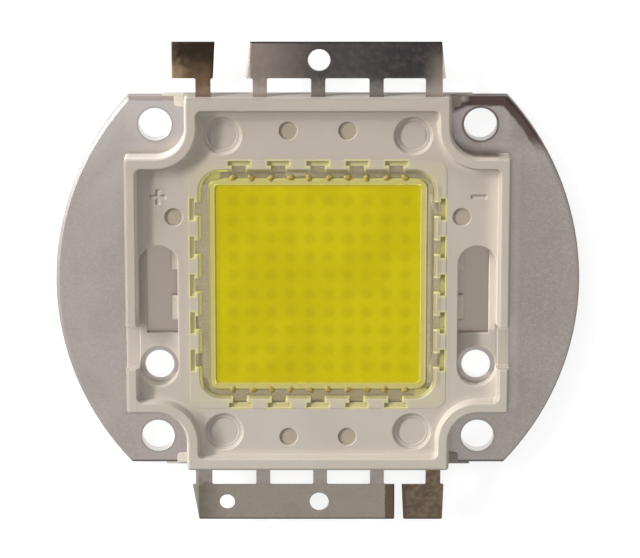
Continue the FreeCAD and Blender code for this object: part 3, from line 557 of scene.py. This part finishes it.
def yellow_glow_and_shade(look, base):
    """The phosphor's yellow glow painted on the walls and slot floors, with painted light and shade
    on the ring walls and painted shade on the pad's right edge.
    """
    inside = look.below(look.reach, *SLOT_END)
    deep = look.all_of(look.below(look.z, *UNDER_PAD), inside)
    # Painted yellow glow near the window and on the walls under the pad.
    base = look.paint(base, colour(200, 190, 136), look.below(look.reach, *GLOW_REACH), amount=0.3)
    base = look.paint(base, colour(172, 163, 106), deep, amount=0.85)
    # Painted shade on the ring walls that face the lamps, painted light on those that face away.
    ends = look.calc("MULTIPLY", look.step(look.along, *RING_WALL), 0.7)
    toward = look.calc("MAXIMUM", look.step(look.x, *RING_WALL), ends)
    base = look.paint(base, colour(132, 124, 88), deep, toward, amount=0.6)
    bend = look.all_of(look.below(look.x, *BEND_X), look.step(look.y, *BEND_Y))
    away = look.calc("MAXIMUM", look.below(look.x, *RING_WALL_LEFT), bend)
    base = look.paint(base, colour(250, 243, 136), deep, away, amount=0.9)
    # Painted shade on the pad's right edge beside the ring.
    base = look.paint(base, colour(140, 130, 110), look.step(look.z, *UNDER_PAD),
                      look.span(look.x, *LIP_X, soft=0.1), look.below(look.along, *LIP_Y),
                      amount=0.35)
    # Painted light in the slot floors, which lie in shade; weaker on the upper slots.
    slots = look.all_of(look.below(look.z, *SLOT_FLOOR), inside, look.step(look.reach, *SLOT_FROM))
    base = look.paint(base, colour(232, 220, 120), slots, amount=0.9)
    return look.paint(base, colour(166, 157, 104), slots, look.step(look.y, *UPPER_SLOTS),
                      amount=0.8)


SLOT_PITCH = 4.17
CAP_TO = 13.6
CAP_HALF = 1.18
STEM_HALF = 0.75
BORDER = (0.1, 0.3)
BORDER_ENDS = (10.4, 10.6)


def slot_edges(look, base):
    """A narrow border on the pad round every T slot."""
    def near(off, half):
        return look.below(off, half + BORDER[0], half + BORDER[1])
    aside = look.calc("MINIMUM", look.aside, look.along)
    cell = look.calc("DIVIDE", aside, SLOT_PITCH)
    off = look.calc("ABSOLUTE", look.calc("SUBTRACT", cell, look.calc("ROUND", cell)))
    off = look.calc("MULTIPLY", off, SLOT_PITCH)
    cap = look.all_of(near(off, CAP_HALF),
                      look.span(look.reach, CAP_FROM - 0.2, CAP_TO + 0.22, soft=0.1))
    stem = look.all_of(near(off, STEM_HALF), look.below(look.reach, CAP_FROM, CAP_FROM + 0.1))
    return look.paint(base, colour(206, 198, 134), look.calc("MAXIMUM", cap, stem),
                      look.below(aside, *BORDER_ENDS), look.step(look.reach, *RING_WALL),
                      amount=0.65)


PLUS_AT = (-16.94, 9.67)
MINUS_AT = (17.13, 9.67)
SIGN_HALF = 0.8
SIGN_STROKE = 0.19
SIGN_SOFT = 0.13
SIGN_DEPTH = 0.17


def stroke(look, x, y, half_x, half_y):
    """1 inside a small rectangle."""
    across = look.calc("ABSOLUTE", look.calc("SUBTRACT", look.x, x))
    along = look.calc("ABSOLUTE", look.calc("SUBTRACT", look.y, y))
    return look.all_of(look.below(across, half_x - SIGN_SOFT, half_x + SIGN_SOFT),
                       look.below(along, half_y - SIGN_SOFT, half_y + SIGN_SOFT))


def polarity_signs(look):
    """The plus and the minus, pressed into the floor of the moulding."""
    plus = look.calc("MAXIMUM", stroke(look, *PLUS_AT, SIGN_HALF, SIGN_STROKE),
                     stroke(look, *PLUS_AT, SIGN_STROKE, SIGN_HALF))
    return look.calc("MAXIMUM", plus, stroke(look, *MINUS_AT, SIGN_HALF, SIGN_STROKE))


# The electrodes

LIT_BAR_RIGHT = (10.8, 12.0)
LIT_BESIDE_BEAD_FROM = (BEAD_HALF - 0.1, BEAD_HALF)
LIT_BESIDE_BEAD_TO = (BEAD_HALF + 0.25, BEAD_HALF + 0.6)
LIT_BESIDE_BEAD_ENDS = (9.2, 10.2)
BAR_WITHIN = (11.6, 12.0)
LOWER_BAR = (-11.6, -11.4)
UPPER_BAR = (11.5, 12.1)
UPPER_TONGUES = (12.1, 12.3)


def lead_look():
    """Plated sheet: grey round the window with painted light on the right bar, dark over most of
    the upper strip, brown where tabs were cut.
    """
    look = Look("lead_sheet", Metallic=1.0)
    fine = look.noise(6, 3)
    soft = look.noise(0.5, 3, at=(9, 2, 0))
    wobble = look.wobble(scale=1.4, size=1.6)
    x = look.calc("ADD", look.x, wobble)
    y = look.calc("ADD", look.y, wobble)
    base = look.mix(look.step(fine, 0.35, 0.65), colour(184, 171, 148), colour(168, 155, 134))
    # Painted light on the right bar, strongest beside the bead, where the bead's shadow falls.
    base = look.paint(base, colour(200, 186, 160), look.step(look.x, *LIT_BAR_RIGHT), amount=0.3)
    base = look.paint(base, colour(248, 230, 206), look.step(look.x, *LIT_BESIDE_BEAD_FROM),
                      look.below(look.x, *LIT_BESIDE_BEAD_TO), look.below(look.along, *LIT_BESIDE_BEAD_ENDS),
                      amount=0.8)
    within = look.below(look.aside, *BAR_WITHIN)
    base = look.paint(base, colour(146, 132, 98), look.below(look.y, *LOWER_BAR), within,
                      amount=0.45)
    base = look.paint(base, colour(200, 186, 154), look.span(look.y, *UPPER_BAR, soft=0.1), within,
                      amount=0.5)
    base = look.paint(base, colour(140, 129, 108), look.step(look.y, *UPPER_TONGUES), within,
                      amount=0.5)
    upper = look.step(look.y, *UPPER_END)
    lower = look.below(look.y, *LOWER_END)
    base = look.paint(base, upper_strip(look, x, y), upper, look.step(look.x, *UPPER_GAP))
    base = look.paint(base, upper_tab(look, x, y), upper, look.below(look.x, *UPPER_GAP))
    base = look.paint(base, lower_strip(look, x, y), lower, look.below(look.x, *LOWER_GAP))
    base = look.paint(base, lower_tab(look, x), lower, look.step(look.x, *LOWER_GAP))
    base = look.paint(base, colour(110, 98, 88), look.step(soft, 0.5, 0.75), amount=0.15)
    rough = look.vary(0.3, 0.14, fine)
    return look.finish(base, rough, fine, strength=0.15, distance=0.01, soften=0.04)


UPPER_END = (20.4, 20.5)
LOWER_END = (-20.5, -20.4)
UPPER_GAP = (-9.5, -9.0)
LOWER_GAP = (8.6, 8.8)
STRIP_TOP_EDGE = (26.15, 26.3)
STRIP_LOW_EDGE = (-26.3, -26.15)
STRIP_MIDDLE = 3
OUTER_LEGS = (7.5, 8.5)
UPPER_LEFT_CUT = (-7.15, -7.05)
UPPER_RIGHT_CUT = (13.1, 13.2)
LOWER_LEFT_CUT = (-12.95, -12.85)
BAND_FROM = (7.2, 7.35)


def upper_strip(look, x, y):
    """Light at its left end and on the legs, dark over most of its length, with painted light on
    the lower right end and bright cut ends that carry a painted highlight.
    """
    tone = look.mix(look.step(x, -8.0, 1.0), colour(140, 128, 119), colour(76, 72, 72))
    tone = look.mix(look.step(x, 3.0, 9.0), tone, colour(62, 58, 59))
    # Painted light on the lower part of the right end.
    tone = look.paint(tone, colour(150, 137, 124), look.step(x, 10.8, 13.2),
                      look.below(y, 22.6, 26.4), amount=0.7)
    blotch = look.noise(1.3, 4, at=(6, 2, 5))
    tone = look.paint(tone, colour(112, 104, 100), look.step(blotch, 0.42, 0.7), amount=0.22)
    off_middle = look.calc("ABSOLUTE", look.calc("SUBTRACT", look.x, STRIP_MIDDLE))
    leg = look.mix(look.step(off_middle, *OUTER_LEGS), colour(150, 142, 135), colour(182, 171, 162))
    tone = look.paint(tone, leg, look.below(y, 20.6, 23.0), amount=0.6)
    streak = look.noise(3, 3, stretch=(4, 0.5, 1), at=(2, 7, 3))
    # The cut ends: bright sheared metal with a painted highlight where the bent ends catch the
    # light.
    cut = look.paint(colour(206, 197, 188), colour(156, 138, 120), look.step(streak, 0.4, 0.6),
                     amount=0.6)
    ends = look.calc("MAXIMUM", look.below(look.x, *UPPER_LEFT_CUT),
                     look.step(look.x, *UPPER_RIGHT_CUT))
    tone = look.paint(tone, cut, ends)
    return look.paint(tone, colour(46, 42, 40), look.step(look.y, *STRIP_TOP_EDGE))


def upper_tab(look, x, y):
    """Scorched brown, nearly black at the top, lighter along its lower left."""
    tone = look.mix(look.step(y, 21.5, 25.5), colour(112, 90, 70), colour(52, 43, 34))
    tone = look.paint(tone, colour(176, 152, 122), look.below(x, -15.6, -13.4),
                      look.below(y, 23.0, 25.2), amount=0.7)
    tone = look.paint(tone, colour(120, 100, 80), look.below(x, -15.4, -14.4), amount=0.3)
    tone = look.paint(tone, colour(46, 36, 28), look.step(x, -12.0, -10.9), amount=0.5)
    return look.paint(tone, colour(138, 119, 103), look.below(y, 20.5, 22.2))


def lower_strip(look, x, y):
    """Warm grey, greenish at its left end, with a ragged brown band at its right end."""
    tone = look.mix(look.step(x, -13.4, -9.5), colour(104, 100, 88), colour(145, 136, 126))
    tone = look.paint(tone, colour(160, 151, 145), look.step(y, -22.6, -21.6), amount=0.6)
    grain = look.noise(4, 4, at=(2, 2, 9))
    tone = look.paint(tone, colour(118, 109, 100), look.step(grain, 0.4, 0.65), amount=0.2)
    tone = look.paint(tone, colour(190, 182, 166), look.below(look.x, *LOWER_LEFT_CUT), amount=0.4)
    ragged = look.calc("ADD", look.x, look.wobble(scale=3.5, size=0.25, at=(1, 6, 0)))
    tone = look.paint(tone, colour(95, 82, 70), look.step(ragged, *BAND_FROM))
    return look.paint(tone, colour(62, 56, 50), look.below(look.y, *STRIP_LOW_EDGE))


def lower_tab(look, x):
    """Mottled brown."""
    mottle = look.noise(1.8, 5, at=(3, 8, 1))
    tone = look.mix(look.step(mottle, 0.3, 0.7), colour(116, 101, 86), colour(92, 78, 65))
    tone = look.paint(tone, colour(70, 58, 48), look.below(x, 9.2, 10.0), amount=0.5)
    return look.paint(tone, colour(52, 44, 38), look.below(look.y, *STRIP_LOW_EDGE))


# The gel and the silicones

SPOT = (0.2, 0.95)


def gel_look():
    """Yellow phosphor in silicone: a soft mottle, darker over each die, with painted shade along
    the left and upper walls.
    """
    look = Look("phosphor", Roughness=0.55, Specular_IOR_Level=0.2)
    fine = look.noise(4, 4)
    cloud = look.noise(0.2, 3)
    base = look.mix(look.step(cloud, 0.35, 0.65), colour(191, 176, 0), colour(199, 185, 2))
    base = look.paint(base, colour(160, 145, 2), die_spots(look), amount=0.3)
    base = look.paint(base, colour(184, 172, 2), look.step(fine, 0.5, 0.8), amount=0.2)
    # Painted shade cast by the left and upper walls.
    left = look.below(look.x, -WINDOW_HALF, -WINDOW_HALF + 0.75)
    top = look.calc("MULTIPLY", look.step(look.y, WINDOW_HALF - 0.55, WINDOW_HALF), 0.5)
    base = look.paint(base, colour(168, 156, 2), look.calc("MAXIMUM", left, top), amount=0.5)
    rim = look.step(look.reach, WINDOW_HALF - 0.35, WINDOW_HALF + 0.05)
    base = look.paint(base, colour(194, 180, 70), rim, amount=0.5)
    return look.finish(base, None, fine, strength=0.2, distance=0.02)


def die_spots(look):
    """Soft irregular spots over the dies."""
    pitch = DIE_PITCH / MM

    def off(axis, first):
        cell = look.calc("DIVIDE", look.calc("SUBTRACT", axis, first / MM), pitch)
        return look.calc("MULTIPLY", look.calc("SUBTRACT", cell, look.calc("ROUND", cell)), pitch)
    away = look.length(off(look.x, DIE_COLUMNS[0]), off(look.y, FIRST_ROW))
    return look.below(look.calc("ADD", away, look.wobble(scale=2.2, size=0.9)), *SPOT)


def bead_look():
    """Pale cream silicone, with the phosphor's yellow shining through on its inner side, and
    painted light on that inner side along the left and upper walls.
    """
    look = Look("cream_silicone", Roughness=0.5, Specular_IOR_Level=0.3, Subsurface_Weight=0.6,
                Subsurface_Radius=(1.0, 0.9, 0.5), Subsurface_Scale=0.4 * MM)
    fine = look.noise(3, 3)
    outer = look.step(look.reach, WINDOW_HALF, WINDOW_HALF + 0.3)
    base = look.mix(outer, colour(186, 173, 56), colour(192, 182, 112))
    base = look.paint(base, colour(182, 171, 104), look.step(fine, 0.5, 0.8), amount=0.3)
    # Painted light on the inner side where it faces away from the lamps.
    inner = look.below(look.reach, WINDOW_HALF + 0.08, WINDOW_HALF + 0.18)
    away = look.calc("MAXIMUM", look.below(look.x, -WINDOW_HALF - 0.1, -WINDOW_HALF + 0.1),
                     look.step(look.y, WINDOW_HALF - 0.1, WINDOW_HALF + 0.1))
    base = look.paint(base, colour(250, 238, 120), inner, away, amount=0.9)
    left = look.below(look.x, 0.12 - BEAD_HALF, 0.28 - BEAD_HALF)
    base = look.paint(base, colour(134, 126, 92), left, amount=0.8)
    right = look.step(look.x, BEAD_HALF - 0.3, BEAD_HALF - 0.15)
    base = look.paint(base, colour(222, 212, 158), right, amount=0.5)
    return look.finish(base, None, fine, strength=0.2, distance=0.02)


CLEAR = 0.1
CAP_CLOUD = 0.7
POOL_CLOUD = 0.75
POOL_X = (10.2, 10.5)
POOL_Y = (11.3, 11.7)
POOL_CORNERS = (-60, -40)
SEAL_RIGHT = (12.0, 12.5)
SEAL_LEFT = (-12.5, -12.0)


def seal_look():
    """Clear silicone over the electrodes; cloudy at two ring corners, and cloudy and pale over the
    slots' caps, partly as painted light over their shaded floors.
    """
    look = Look("clear_silicone", Roughness=0.12, IOR=1.41)
    fine = look.noise(2.2, 3)
    caps = look.step(look.reach, CAP_FROM - 0.1, CAP_FROM)
    # The product of x and y is negative at the upper left and the lower right corner only
    pool = look.all_of(look.step(look.aside, *POOL_X), look.step(look.along, *POOL_Y),
                       look.below(look.calc("MULTIPLY", look.x, look.y), *POOL_CORNERS))
    cloudy = look.calc("MAXIMUM", look.vary(CLEAR, CAP_CLOUD, caps),
                       look.calc("MULTIPLY", pool, POOL_CLOUD))
    look.join(cloudy, look.surface.inputs["Alpha"])
    base = look.mix(look.step(fine, 0.4, 0.7), colour(190, 182, 118), colour(168, 160, 104))
    base = look.paint(base, colour(200, 189, 118), pool)
    # Painted light over the caps, strongest on the left, where they lie in shade.
    base = look.paint(base, colour(214, 203, 148), caps, look.below(look.x, *SEAL_RIGHT))
    base = look.paint(base, colour(240, 230, 172), caps, look.below(look.x, *SEAL_LEFT))
    return look.finish(base, None, fine, strength=0.12, distance=0.03)


# The dies, the wires and the adhesive

def die_look():
    """Polished sapphire chip with a fine pattern."""
    look = Look("sapphire_chip", Roughness=0.15)
    fine = look.noise(4, 2)
    base = look.mix(look.step(fine, 0.4, 0.6), colour(150, 165, 190), colour(172, 180, 200))
    return look.finish(base, None, fine, strength=0.1, distance=0.01)


def wire_look():
    """Gold bond wire."""
    look = Look("gold_wire", Metallic=1.0)
    fine = look.noise(8, 2)
    base = look.mix(look.step(fine, 0.3, 0.7), colour(238, 206, 120), colour(222, 184, 96))
    return look.finish(base, look.vary(0.2, 0.1, fine))


def blob_look():
    """Dull yellowish adhesive over the bonds, darker at its foot."""
    look = Look("bond_adhesive", Roughness=0.45)
    fine = look.noise(3, 3)
    base = look.mix(look.step(fine, 0.4, 0.7), colour(164, 140, 62), colour(136, 112, 48))
    foot = look.below(look.z, LEAD_TOP / MM + 0.03, LEAD_TOP / MM + 0.14)
    base = look.paint(base, colour(104, 92, 48), foot, amount=0.7)
    return look.finish(base, None, fine, strength=0.3, distance=0.02)


BLOB_PROFILE = [(0.37, 0.0), (0.39, 0.06), (0.34, 0.15), (0.22, 0.21), (0.1, 0.235)]
BLOB_TURNS = 22
BLOB_AT = 11.68
BLOB_OVAL = 0.16
BLOB_TRIPLE = 0.09
BLOB_PHASE = 2.3
BLOB_SHIFT_X = 0.07
BLOB_SHIFT_Y = 0.04


def lump(bm, centre, phase):
    """A small closed lump, not quite round. The profile is (radius, height), from the foot up."""
    rings = []
    for radius, height in BLOB_PROFILE:
        ring = []
        for number in range(BLOB_TURNS):
            angle = 2 * math.pi * number / BLOB_TURNS
            uneven = (1 + BLOB_OVAL * math.sin(2 * angle + phase)
                      + BLOB_TRIPLE * math.sin(3 * angle + 2.1 * phase))
            across = radius * uneven
            offset = Vector((across * math.cos(angle), across * math.sin(angle), height))
            ring.append(bm.verts.new(centre + offset * MM))
        rings.append(ring)
    for low, high in zip(rings, rings[1:]):
        for number in range(BLOB_TURNS):
            after = (number + 1) % BLOB_TURNS
            bm.faces.new((low[number], low[after], high[after], high[number]))
    bm.faces.new(rings[0][::-1])
    bm.faces.new(rings[-1])


def make_bond_blobs(material):
    """Adhesive over the bonds at both ends of every string; it rides on the module."""
    bm = bmesh.new()
    for number, x in enumerate(DIE_COLUMNS):
        for side in (-1, 1):
            phase = BLOB_PHASE * number + side
            aside = BLOB_SHIFT_X * math.sin(1.7 * phase) * MM
            along = side * (BLOB_AT + BLOB_SHIFT_Y * math.sin(phase)) * MM
            lump(bm, Vector((x + aside, along, LEAD_TOP)), phase)
    mesh = bpy.data.meshes.new("bond_blobs")
    bm.to_mesh(mesh)
    bm.free()
    mesh.materials.append(material)
    for face in mesh.polygons:
        face.use_smooth = True
    piece = bpy.data.objects.new("bond_blobs", mesh)
    bpy.context.scene.collection.objects.link(piece)
    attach(piece, "root")


def dress(looks):
    """Gives every CAD node its material."""
    for name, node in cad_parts.items():
        material = next(look for start, look in looks.items() if name.startswith(start))
        node.data.materials.clear()
        node.data.materials.append(material)


# Stage, light and camera

FLOOR_SIZE = 0.6
FLOOR_DROP = 0.02 * MM
FLOOR_GLOW = 0.8
FLOOR_TONE = (0.4, 0.4, 0.4, 1)
WHITE = (1, 1, 1, 1)


def floor_look():
    """Pale floor that looks white to the camera and keeps the object's shadow."""
    material = bpy.data.materials.new("pale_floor")
    material.use_nodes = True
    nodes = material.node_tree.nodes
    links = material.node_tree.links
    nodes.clear()
    path = nodes.new("ShaderNodeLightPath")
    seen = nodes.new("ShaderNodeMath")
    seen.operation = "MAXIMUM"
    links.new(path.outputs["Is Camera Ray"], seen.inputs[0])
    mirrored = nodes.new("ShaderNodeMath")
    mirrored.operation = "MAXIMUM"
    links.new(path.outputs["Is Glossy Ray"], mirrored.inputs[0])
    links.new(path.outputs["Is Transmission Ray"], mirrored.inputs[1])
    links.new(mirrored.outputs[0], seen.inputs[1])
    glow = nodes.new("ShaderNodeEmission")
    glow.inputs["Color"].default_value = WHITE
    strength = nodes.new("ShaderNodeMath")
    strength.operation = "MULTIPLY"
    strength.inputs[1].default_value = FLOOR_GLOW
    links.new(seen.outputs[0], strength.inputs[0])
    links.new(strength.outputs[0], glow.inputs["Strength"])
    matt = nodes.new("ShaderNodeBsdfDiffuse")
    matt.inputs["Color"].default_value = FLOOR_TONE
    both = nodes.new("ShaderNodeAddShader")
    links.new(glow.outputs[0], both.inputs[0])
    links.new(matt.outputs[0], both.inputs[1])
    out = nodes.new("ShaderNodeOutputMaterial")
    links.new(both.outputs[0], out.inputs["Surface"])
    return material


def make_floor():
    bm = bmesh.new()
    bmesh.ops.create_grid(bm, x_segments=1, y_segments=1, size=FLOOR_SIZE)
    mesh = bpy.data.meshes.new("floor")
    bm.to_mesh(mesh)
    bm.free()
    mesh.materials.append(floor_look())
    floor = bpy.data.objects.new("floor", mesh)
    floor.location.z = -FLOOR_DROP
    bpy.context.scene.collection.objects.link(floor)


SKY = 0.41
DARK_TOWARD = Vector((0.55, 0.45, 0.7))
DARK_FROM = (0.9, 0.98)
DARK_TONE = (0.16, 0.1, 0.08, 1)


def make_world():
    """Even soft light, with a dark spot at the upper right that only reflections pick up."""
    world = bpy.data.worlds.new("studio")
    bpy.context.scene.world = world
    world.use_nodes = True
    nodes = world.node_tree.nodes
    links = world.node_tree.links
    back = nodes["Background"]
    path = nodes.new("ShaderNodeLightPath")
    matt = nodes.new("ShaderNodeMapRange")
    links.new(path.outputs["Is Diffuse Ray"], matt.inputs["Value"])
    matt.inputs["To Min"].default_value = 1.0
    matt.inputs["To Max"].default_value = SKY
    links.new(matt.outputs[0], back.inputs["Strength"])
    place = nodes.new("ShaderNodeTexCoord")
    toward = nodes.new("ShaderNodeVectorMath")
    toward.operation = "DOT_PRODUCT"
    links.new(place.outputs["Generated"], toward.inputs[0])
    toward.inputs[1].default_value = DARK_TOWARD.normalized()
    dark = nodes.new("ShaderNodeMapRange")
    dark.interpolation_type = "SMOOTHSTEP"
    links.new(toward.outputs["Value"], dark.inputs["Value"])
    dark.inputs["From Min"].default_value = DARK_FROM[0]
    dark.inputs["From Max"].default_value = DARK_FROM[1]
    glossy = nodes.new("ShaderNodeMath")
    glossy.operation = "MULTIPLY"
    links.new(dark.outputs[0], glossy.inputs[0])
    links.new(path.outputs["Is Glossy Ray"], glossy.inputs[1])
    tone = nodes.new("ShaderNodeMix")
    tone.data_type = "RGBA"
    links.new(glossy.outputs[0], tone.inputs[0])
    tone.inputs[6].default_value = WHITE
    tone.inputs[7].default_value = DARK_TONE
    links.new(tone.outputs[2], back.inputs["Color"])


KEY = 4.25
KEY_RISE = math.radians(22.6)
KEY_TURNS = [math.radians(5 + 4.5 * step) for step in range(9)]
KEY_SOFT = math.radians(6)
FILL = 0.75
FILL_SOFT = math.radians(20)
FILL_FROM = Vector((-0.3, 0.9, 0.3))


def make_lamp(name, energy, soft, toward):
    """A distant soft lamp."""
    lamp = bpy.data.lights.new(name, "SUN")
    lamp.energy = energy
    lamp.angle = soft
    light = bpy.data.objects.new(name, lamp)
    light.rotation_mode = "QUATERNION"
    light.rotation_quaternion = toward.to_track_quat("Z", "Y")
    bpy.context.scene.collection.objects.link(light)


def make_lamps():
    """The key light, a long level strip low at the left, and a weak fill from the upper end."""
    across = math.cos(KEY_RISE)
    for number, turn in enumerate(KEY_TURNS):
        toward = Vector((-across * math.cos(turn), across * math.sin(turn), math.sin(KEY_RISE)))
        make_lamp(f"key_{number}", KEY / len(KEY_TURNS), KEY_SOFT, toward)
    make_lamp("fill", FILL, FILL_SOFT, FILL_FROM)


def make_camera():
    """The photograph's view."""
    back = Vector((0, math.sin(CAMERA_LEAN), math.cos(CAMERA_LEAN)))
    up = Vector((0, math.cos(CAMERA_LEAN), -math.sin(CAMERA_LEAN)))
    right = Vector((1, 0, 0))
    off_x = (IMAGE[0] / 2 - PLATE_CENTRE_PIXEL[0]) / PIXELS_PER_MM * MM
    off_y = (PLATE_CENTRE_PIXEL[1] - IMAGE[1] / 2) / PIXELS_PER_MM * MM
    middle = Vector((0, 0, PLATE_TOP))
    data = bpy.data.cameras.new("camera")
    data.sensor_width = SENSOR
    data.lens = PIXELS_PER_MM * CAMERA_DISTANCE / MM * SENSOR / IMAGE[0]
    data.clip_start = CAMERA_NEAR
    camera = bpy.data.objects.new("camera", data)
    camera.location = middle + back * CAMERA_DISTANCE + right * off_x + up * off_y
    camera.rotation_euler = Matrix((right, up, back)).transposed().to_euler()
    bpy.context.scene.collection.objects.link(camera)
    bpy.context.scene.camera = camera


def main():
    dress({
        "base_plate": plate_look(),
        "moulded_frame": frame_look(),
        "lead_frame": lead_look(),
        "phosphor_gel": gel_look(),
        "silicone_bead": bead_look(),
        "clear_seal": seal_look(),
        "led_dies": die_look(),
        "bond_wires": wire_look(),
    })
    make_bond_blobs(blob_look())
    make_floor()
    make_world()
    make_lamps()
    make_camera()
    bpy.context.scene.view_settings.view_transform = "Standard"


main()
